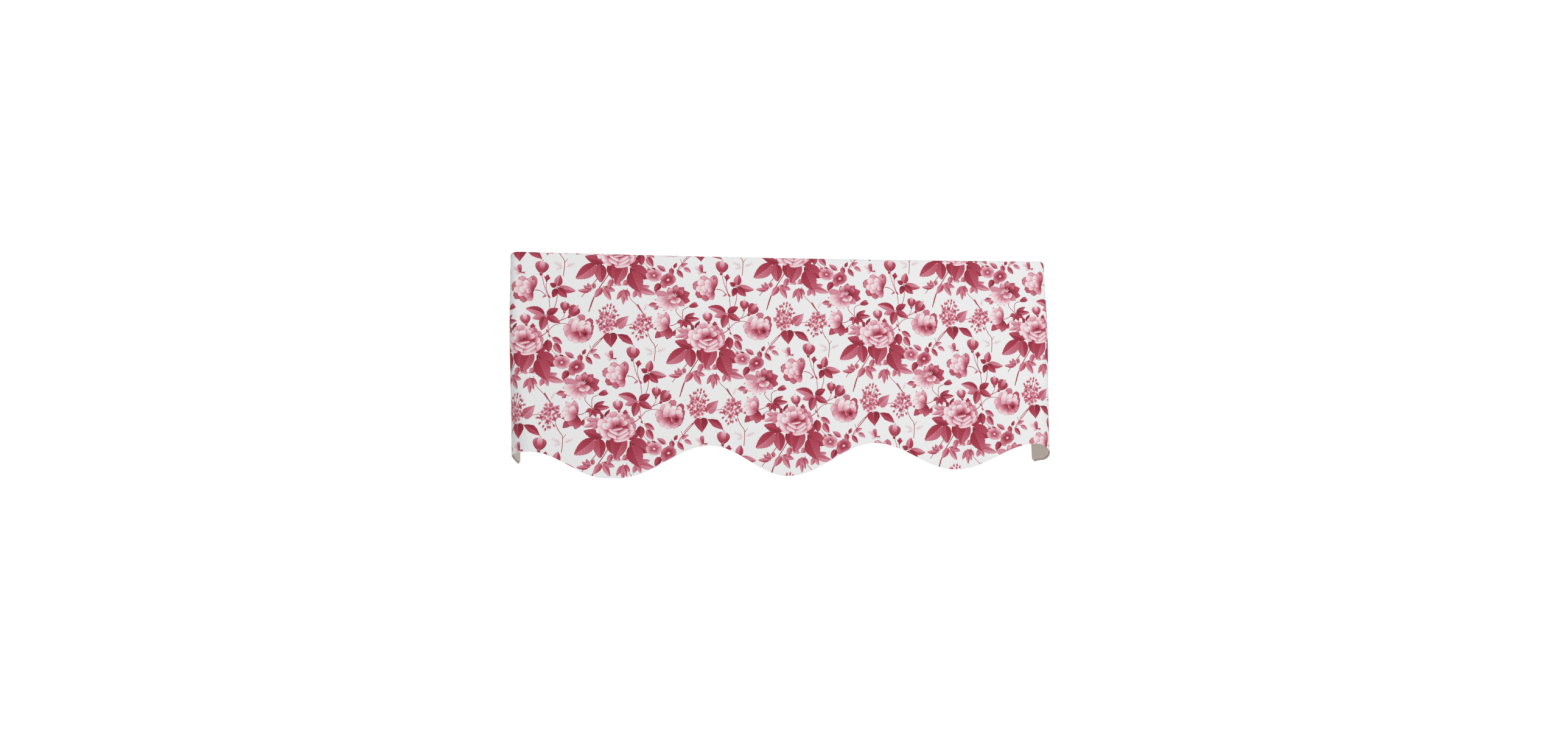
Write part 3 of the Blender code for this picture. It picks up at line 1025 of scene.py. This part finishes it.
def cut_cloth(edge, points, sides, across, down):
    """Triangles of the cloth inside its closed `edge`, with these drawn sides and a grid of plain
    points.  Everything is in millimetres."""
    grid = [complex(a, d) for a in across for d in down]
    places = as_vectors(edge) + as_vectors(points) + as_vectors(grid)
    drawn = [(len(edge) + a, len(edge) + b) for a, b in sides]
    outline = list(range(len(edge)))
    if signed_area(edge) < 0:
        outline.reverse()
    cut = delaunay_2d_cdt(places, drawn, [outline], 0, MERGE_WITHIN, True)
    corners, _, triangles, _, _, covers = cut
    inside = np.array([bool(cover) for cover in covers])
    kept, triangles = np.unique(np.array(triangles)[inside], return_inverse=True)
    return np.array([complex(c.x, c.y) for c in corners])[kept], triangles.reshape(-1, 3)


def tops_of(centres, points, triangles, tops):
    """The topmost shape at each of these places."""
    tree = BVHTree.FromPolygons([(z.real, z.imag, 0.0) for z in points], triangles.tolist())
    below = Vector((0.0, 0.0, -1.0))
    found = []
    for z in centres:
        index = tree.ray_cast(Vector((z.real, z.imag, 1.0)), below)[2]
        found.append(-1 if index is None else tops[index])
    return np.array(found)


def shape_values(shapes):
    """The shapes' numbers as arrays; the last entry is the plain ground."""
    ground = Shape(None, 0j, 1 + 0j, 1j, 0.0, (0.0, 0.0), 0.0, PLAIN)
    rows = list(shapes) + [ground]
    return {
        "origin": np.array([shape.origin for shape in rows]),
        "along": np.array([shape.along for shape in rows]),
        "across": np.array([shape.across for shape in rows]),
        "bow": np.array([shape.bow for shape in rows]),
        "paint": np.array([(*shape.tones, shape.lines, shape.kind) for shape in rows]),
    }


def local_places(values, tops, places):
    """(along, across) of each place in its own shape's coordinates."""
    offset = places - values["origin"][tops]
    along_axis, across_axis = values["along"][tops], values["across"][tops]
    size = cross_product(along_axis, across_axis)
    along = cross_product(offset, across_axis) / size
    bent = 4 * values["bow"][tops] * along * (1 - along)
    across = cross_product(along_axis, offset) / size - bent
    return np.stack([along, across], 1)


def open_sides(triangles):
    """The directed edges that only one triangle has, with the triangles' numbers."""
    sides = sides_of(triangles)
    owners = np.tile(np.arange(len(triangles)), 3)
    seen = {(a, b) for a, b in sides.tolist()}
    keep = [k for k, (a, b) in enumerate(sides.tolist()) if (b, a) not in seen]
    return sides[keep], owners[keep]


def facing_out(points, triangles):
    """The triangles, each running anticlockwise as the front is seen, so that it faces out."""
    a, b, c = (points[triangles[:, k]] for k in range(3))
    wrong = cross_product(b - a, c - a) > 0
    triangles = triangles.copy()
    triangles[wrong] = triangles[wrong][:, ::-1]
    return triangles


def loop_order(sides):
    """The corners of one closed loop of directed edges, in order."""
    after = dict(sides.tolist())
    corner = int(sides[0][0])
    loop = []
    while True:
        loop.append(corner)
        corner = after[corner]
        if corner == loop[0]:
            return loop


shapes, outlines = laid_out()
stack_points, stack_triangles, stack_tops = stack_of_shapes(outlines)
drawn_sides = colour_edges(stack_triangles, stack_tops)
used, drawn_sides = np.unique(drawn_sides, return_inverse=True)
face_points, face_triangles = cut_cloth(
    cloth_edge(),
    stack_points[used],
    drawn_sides.reshape(-1, 2),
    MM * across_lines()[1:-1],
    MM * down_lines()[1:],
)
face_triangles = facing_out(face_points, face_triangles)
face_centres = face_points[face_triangles].mean(axis=1)
face_tops = tops_of(face_centres, stack_points, stack_triangles, stack_tops)

# The wrong side is cut from the same edge, with coarser triangles, and a rounded rim joins the two.
rim_sides, rim_owners = open_sides(face_triangles)
edge_loop = loop_order(rim_sides)
back_points, back_triangles = cut_cloth(
    face_points[edge_loop],
    np.array([], complex),
    [],
    MM * across_lines(0.030, 0.005)[1:-1],
    MM * down_lines(0.030, 0.0027)[1:],
)
back_triangles = facing_out(back_points, back_triangles)[:, ::-1]


RIM_BULGE = 0.45  # how far the rim stands out, in thicknesses of the cloth


def cloth_mesh():
    """The whole printed cloth as one closed mesh, with its print in attributes."""
    across, down = face_points.real / MM, face_points.imag / MM
    outer = printed_face(across, down)
    outer_normals = face_normals(across, down, printed_face)
    across, down = back_points.real / MM, back_points.imag / MM
    inner_normals = -face_normals(across, down, printed_face)
    inner = printed_face(across, down) + inner_normals * FACE_THICKNESS

    count = len(edge_loop)
    loop = np.array(edge_loop)
    ahead = np.roll(outer[loop], -1, axis=0) - np.roll(outer[loop], 1, axis=0)
    rim_normals = np.cross(ahead, outer_normals[loop])
    rim_normals /= np.linalg.norm(rim_normals, axis=1)[:, None]
    rim = (outer[loop] + inner[:count]) / 2 + rim_normals * FACE_THICKNESS * RIM_BULGE

    first_inner = len(outer)
    first_rim = first_inner + len(inner)
    vertices = np.concatenate([outer, inner, rim])
    normals = np.concatenate([outer_normals, inner_normals, rim_normals])
    after = np.roll(np.arange(count), -1)
    here = np.arange(count)
    top_row = np.stack([loop[after], loop[here], first_rim + here, first_rim + after], 1)
    low_row = np.stack(
        [first_rim + after, first_rim + here, first_inner + here, first_inner + after], 1
    )

    mesh = bpy.data.meshes.new("Printed_cotton")
    faces = face_triangles.tolist() + top_row.tolist() + (back_triangles + first_inner).tolist()
    mesh.from_pydata(vertices.tolist(), [], faces + low_row.tolist())

    owner_of = {int(a): owner for (a, b), owner in zip(rim_sides, rim_owners)}
    rim_tops = np.array([face_tops[owner_of[int(corner)]] for corner in loop])
    values = shape_values(shapes)
    rim_corners = np.stack([face_points[loop[k]] for k in (after, here, here, after)], 1).ravel()
    back_corners = back_points[back_triangles].ravel()
    plain_count = len(back_corners) + len(rim_corners)
    corners = np.concatenate([
        face_points[face_triangles].ravel(), rim_corners, back_corners, rim_corners,
    ])
    corner_tops = np.concatenate([
        np.repeat(face_tops, 3), np.repeat(rim_tops, 4), np.full(plain_count, -1),
    ])

    flat = mesh.uv_layers.new(name="flat")
    flat.data.foreach_set("uv", np.stack([corners.real, corners.imag], 1).ravel() / MM)
    motif = mesh.uv_layers.new(name="motif")
    motif.data.foreach_set("uv", local_places(values, corner_tops, corners).ravel())
    paint = mesh.attributes.new("paint", "FLOAT_COLOR", "CORNER")
    paint.data.foreach_set("color", values["paint"][corner_tops].ravel())

    wrong_side = np.zeros(len(mesh.polygons), np.int32)
    wrong_side[len(face_triangles) + count:] = 1
    mesh.polygons.foreach_set("material_index", wrong_side)
    mesh.shade_smooth()
    mesh.normals_split_custom_set_from_vertices(normals.tolist())
    return mesh


def maths_maker(new, link):
    """A function that adds a Math node, its inputs sockets or numbers, and returns its output."""
    def maths(operation, first, second=None, third=None, clamp=False):
        node = new("ShaderNodeMath")
        node.operation = operation
        node.use_clamp = clamp
        for socket, value in zip(node.inputs, (first, second, third)):
            if isinstance(value, (int, float)):
                socket.default_value = value
            elif value is not None:
                link(value, socket)
        return node.outputs[0]

    return maths


def axes_of(new, link, vector):
    """The X and Y of a vector socket."""
    node = new("ShaderNodeSeparateXYZ")
    link(vector, node.inputs[0])
    return node.outputs["X"], node.outputs["Y"]


def node_group(name, inputs, outputs):
    """(group, its input sockets by name, its output sockets by name, node maker, link maker).  All
    the outputs are numbers."""
    group = bpy.data.node_groups.new(name, "ShaderNodeTree")
    for label, kind in inputs:
        group.interface.new_socket(label, in_out="INPUT", socket_type=kind)
    for label in outputs:
        group.interface.new_socket(label, in_out="OUTPUT", socket_type="NodeSocketFloat")
    source = group.nodes.new("NodeGroupInput")
    sink = group.nodes.new("NodeGroupOutput")
    return group, source.outputs, sink.inputs, group.nodes.new, group.links.new


def weave_group():
    """Plain weave from flat cloth coordinates in metres: a height and a faint yarn-to-yarn tone."""
    inputs = [("Flat", "NodeSocketVector"), ("Yarns", "NodeSocketFloat")]
    group, source, sink, new, link = node_group("Plain weave", inputs, ("Height", "Tone"))
    maths = maths_maker(new, link)
    waves = []
    for place in axes_of(new, link, source["Flat"]):
        yarn = maths("MULTIPLY", place, source["Yarns"])
        waves.append(maths("SINE", maths("MULTIPLY", yarn, math.pi)))
    link(maths("MULTIPLY_ADD", maths("MULTIPLY", *waves), 0.5, 0.5), sink["Height"])

    slubs = []
    for stretch in ((300.0, 14.0, 1.0), (14.0, 300.0, 1.0)):
        mapping = new("ShaderNodeMapping")
        mapping.inputs["Scale"].default_value = stretch
        link(source["Flat"], mapping.inputs["Vector"])
        noise = new("ShaderNodeTexNoise")
        noise.inputs["Scale"].default_value = 1.0
        noise.inputs["Detail"].default_value = 3.0
        link(mapping.outputs[0], noise.inputs["Vector"])
        slubs.append(noise.outputs["Fac"])
    link(maths("ADD", slubs[0], maths("SUBTRACT", slubs[1], 1.0)), sink["Tone"])
    return group


def vein_group():
    """Veins of a drawn leaf from its own coordinates: light ribs and dark hatching between them."""
    inputs = [("Motif", "NodeSocketVector")]
    group, source, sink, new, link = node_group("Leaf veins", inputs, ("Light", "Dark"))
    maths = maths_maker(new, link)
    along, across = axes_of(new, link, source["Motif"])
    aside = maths("ABSOLUTE", across)
    slant = maths("MULTIPLY_ADD", aside, -0.30, along)

    def stripes(count, width):
        """1 on the middle of each of `count` slanting stripes, 0 from `width` of their spacing away."""
        phase = maths("FRACT", maths("MULTIPLY", slant, count))
        middle = maths("ABSOLUTE", maths("SUBTRACT", phase, 0.5))
        return maths("SUBTRACT", 1.0, maths("DIVIDE", middle, width), clamp=True)

    rib = maths("SUBTRACT", 1.0, maths("DIVIDE", aside, 0.07), clamp=True)
    reach = maths("SUBTRACT", 1.05, aside, clamp=True)
    veins = maths("MULTIPLY", stripes(7.0, 0.16), reach)
    link(maths("MAXIMUM", rib, veins), sink["Light"])
    link(maths("MULTIPLY", stripes(21.0, 0.30), reach), sink["Dark"])
    return group


def petal_group():
    """Marks of a drawn petal from its own coordinates: fine rays that spread from its base, and a
    thin edge.  Reach is 0 at the middle and 1 at the edge of the rounded square that fits a petal."""
    inputs = [("Motif", "NodeSocketVector")]
    group, source, sink, new, link = node_group("Petal marks", inputs, ("Rays", "Edge", "Reach"))
    maths = maths_maker(new, link)
    along, across = axes_of(new, link, source["Motif"])
    spread = maths("DIVIDE", across, maths("ADD", along, 0.35))
    wobble = new("ShaderNodeTexNoise")
    wobble.inputs["Scale"].default_value = 2.5
    wobble.inputs["Detail"].default_value = 1.0
    link(source["Motif"], wobble.inputs["Vector"])
    phase = maths("FRACT", maths("MULTIPLY_ADD", spread, 3.2, wobble.outputs["Fac"]))
    middle = maths("ABSOLUTE", maths("SUBTRACT", phase, 0.5))
    fine = maths("SUBTRACT", 1.0, maths("DIVIDE", middle, 0.22), clamp=True)
    fade = maths("SUBTRACT", 0.90, along, clamp=True)
    link(maths("MULTIPLY", fine, fade), sink["Rays"])

    lengthways = maths("ABSOLUTE", maths("MULTIPLY_ADD", along, 2.0, -1.0))
    sideways = maths("ABSOLUTE", across)
    cubes = maths("ADD", maths("POWER", lengthways, 3.0), maths("POWER", sideways, 3.0))
    reach = maths("POWER", cubes, 1 / 3)
    link(reach, sink["Reach"])
    link(maths("DIVIDE", maths("SUBTRACT", reach, 0.89), 0.06, clamp=True), sink["Edge"])
    return group


INKS = (  # (tone, colour)
    (0.00, (232, 232, 232)),
    (0.20, (234, 207, 212)),
    (0.40, (218, 159, 173)),
    (0.60, (197, 114, 132)),
    (0.80, (174, 69, 89)),
    (1.00, (154, 44, 63)),
    (1.15, (108, 32, 45)),
)
DEEPEST_INK = 1.2
HATCHING = 0.4  # strength of a leaf's dark hatching against its light veins
PETAL_EDGE = 0.45  # how much deeper a petal's drawn edge is
COTTON_YARNS = 2600.0  # a metre
LINING_YARNS = 1800.0


def use_group(new, link, group, **inputs):
    """The outputs of a group node, its inputs linked or set."""
    node = new("ShaderNodeGroup")
    node.node_tree = group
    for label, value in inputs.items():
        if isinstance(value, (int, float)):
            node.inputs[label].default_value = value
        else:
            link(value, node.inputs[label])
    return node.outputs


def uv_map(new, name):
    """The coordinates in the mesh's UV map of this name."""
    node = new("ShaderNodeUVMap")
    node.uv_map = name
    return node.outputs[0]


def woven_cloth(shader, new, link, weave, yarns, contrast, strength, depth):
    """Gives the shader the weave's relief and uneven yarns; returns the socket for its colour."""
    woven = use_group(new, link, weave, Flat=uv_map(new, "flat"), Yarns=yarns)
    shade = new("ShaderNodeHueSaturation")
    uneven = maths_maker(new, link)("MULTIPLY_ADD", woven["Tone"], contrast, 1.0)
    link(uneven, shade.inputs["Value"])
    link(shade.outputs[0], shader.inputs["Base Color"])
    bump = new("ShaderNodeBump")
    bump.inputs["Strength"].default_value = strength
    bump.inputs["Distance"].default_value = depth
    link(woven["Height"], bump.inputs["Height"])
    link(bump.outputs[0], shader.inputs["Normal"])
    return shade.inputs["Color"]


def printed_material(weave, veins, marks):
    """Printed cotton: crimson inks on near-white cloth, each shape's tone and lines from the mesh."""
    material, shader, new, link = new_material("Printed cotton")
    maths = maths_maker(new, link)
    motif = uv_map(new, "motif")
    paint = new("ShaderNodeAttribute")
    paint.attribute_name = "paint"
    parts = new("ShaderNodeSeparateColor")
    link(paint.outputs["Color"], parts.inputs[0])
    base_tone, tip_tone, lines = parts.outputs[0], parts.outputs[1], parts.outputs[2]
    in_leaf, in_petal, in_star = (
        maths("COMPARE", paint.outputs["Alpha"], kind, 0.2) for kind in (LEAF, PETAL, STAR)
    )
    vein = use_group(new, link, veins, Motif=motif)
    mark = use_group(new, link, marks, Motif=motif)
    leaf_lines = maths("MULTIPLY", in_leaf, lines)
    petal_lines = maths("MULTIPLY", in_petal, lines)

    # The tone runs from base to tip, and in a star from the middle outwards.
    place = axes_of(new, link, motif)[0]
    outwards = maths("SUBTRACT", mark["Reach"], place)
    part = new("ShaderNodeMapRange")
    part.interpolation_type = "SMOOTHSTEP"
    link(maths("MULTIPLY_ADD", outwards, in_star, place), part.inputs["Value"])
    step = maths("SUBTRACT", tip_tone, base_tone)
    tone = maths("MULTIPLY_ADD", step, part.outputs[0], base_tone)
    tone = maths("SUBTRACT", tone, maths("MULTIPLY", vein["Light"], leaf_lines))
    hatching = maths("MULTIPLY", vein["Dark"], maths("MULTIPLY", leaf_lines, HATCHING))
    tone = maths("ADD", tone, hatching)
    tone = maths("MULTIPLY_ADD", mark["Rays"], petal_lines, tone)
    tone = maths("MULTIPLY_ADD", mark["Edge"], maths("MULTIPLY", in_petal, PETAL_EDGE), tone)

    ramp = new("ShaderNodeValToRGB")
    link(maths("DIVIDE", tone, DEEPEST_INK, clamp=True), ramp.inputs[0])
    stops = ramp.color_ramp.elements
    stops[1].position = INKS[-1][0] / DEEPEST_INK
    for ink_tone, _ in INKS[1:-1]:
        stops.new(ink_tone / DEEPEST_INK)
    for stop, (_, colour) in zip(stops, INKS):
        stop.color = srgb(*colour)
    link(ramp.outputs[0], woven_cloth(shader, new, link, weave, COTTON_YARNS, 0.03, 0.25, 0.0002))
    shader.inputs["Roughness"].default_value = 0.85
    shader.inputs["Specular IOR Level"].default_value = 0.25
    shader.inputs["Sheen Weight"].default_value = 0.06
    return material


def plain_material(name, colour, weave, yarns, contrast):
    """Unprinted woven cloth."""
    material, shader, new, link = new_material(name)
    base = woven_cloth(shader, new, link, weave, yarns, contrast, 0.3, 0.0003)
    base.default_value = srgb(*colour)
    shader.inputs["Roughness"].default_value = 0.9
    shader.inputs["Specular IOR Level"].default_value = 0.2
    return material


weave = weave_group()
printed = bpy.data.objects.new("Printed_cotton", cloth_mesh())
printed.data.materials.append(printed_material(weave, vein_group(), petal_group()))
printed.data.materials.append(
    plain_material("Cotton wrong side", (196, 186, 183), weave, COTTON_YARNS, 0.06)
)
scene.collection.objects.link(printed)
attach(printed, "root")
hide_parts("face_cloth")
flat_area = float(abs(signed_area(face_points[edge_loop]))) / MM**2


# The lining: plain unbleached cotton just behind the printed cloth, from the pocket's seam to the
# hem, sewn to the printed cloth along the seam and all round its edge.

LINING_BEHIND = FACE_THICKNESS + CLOTH_GAP
LINING_TOP = POCKET_DROP + LINING_SHORT
LINING_ROWS = 44


def lining_mesh():
    """A closed thin sheet on the shape in which the lining hangs."""
    columns = across_lines(0.008, 0.003)
    columns = columns[np.abs(columns) < HALF_CLOTH - LINING_SHORT]
    edge = HALF_CLOTH - LINING_SHORT
    columns = np.concatenate([[-edge], columns, [edge]])
    rows = np.linspace(0.0, 1.0, LINING_ROWS)
    hem = hem_drop(columns) - LINING_SHORT
    across = np.repeat(columns, LINING_ROWS)
    down = (LINING_TOP + (hem[:, None] - LINING_TOP) * rows[None, :]).ravel()

    def face(a, d):
        return hang(a, d, LINING_BEHIND - crease_height(a, d))

    front = face(across, down)
    normals = face_normals(across, down, face)
    back = front - normals * LINING_THICKNESS
    half = len(front)
    grid = np.arange(half).reshape(len(columns), LINING_ROWS)
    quads = np.stack([grid[:-1, :-1], grid[:-1, 1:], grid[1:, 1:], grid[1:, :-1]], 2).reshape(-1, 4)
    loop = np.concatenate([grid[:-1, 0], grid[-1, :-1], grid[:0:-1, -1], grid[0, :0:-1]])
    after = np.roll(loop, -1)
    rim = np.stack([loop, after, half + after, half + loop], 1)
    faces = np.concatenate([quads, half + quads[:, [0, 3, 2, 1]], rim]).tolist()
    mesh = bpy.data.meshes.new("Plain_lining")
    mesh.from_pydata(np.concatenate([front, back]).tolist(), [], faces)
    flat = mesh.uv_layers.new(name="flat")
    index = np.array([loop.vertex_index for loop in mesh.loops]) % half
    flat.data.foreach_set("uv", np.stack([across[index], down[index]], 1).ravel())
    mesh.shade_smooth()
    mesh.normals_split_custom_set_from_vertices(np.concatenate([normals, -normals]).tolist())
    return mesh, columns, hem


lining_data, lining_columns, lining_hem = lining_mesh()
lining = bpy.data.objects.new("Plain_lining", lining_data)
lining_data.materials.append(
    plain_material("Plain lining", (206, 194, 184), weave, LINING_YARNS, 0.16)
)
scene.collection.objects.link(lining)
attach(lining, "root")
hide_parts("lining")
lining_area = float(np.trapz(lining_hem - LINING_TOP, lining_columns))
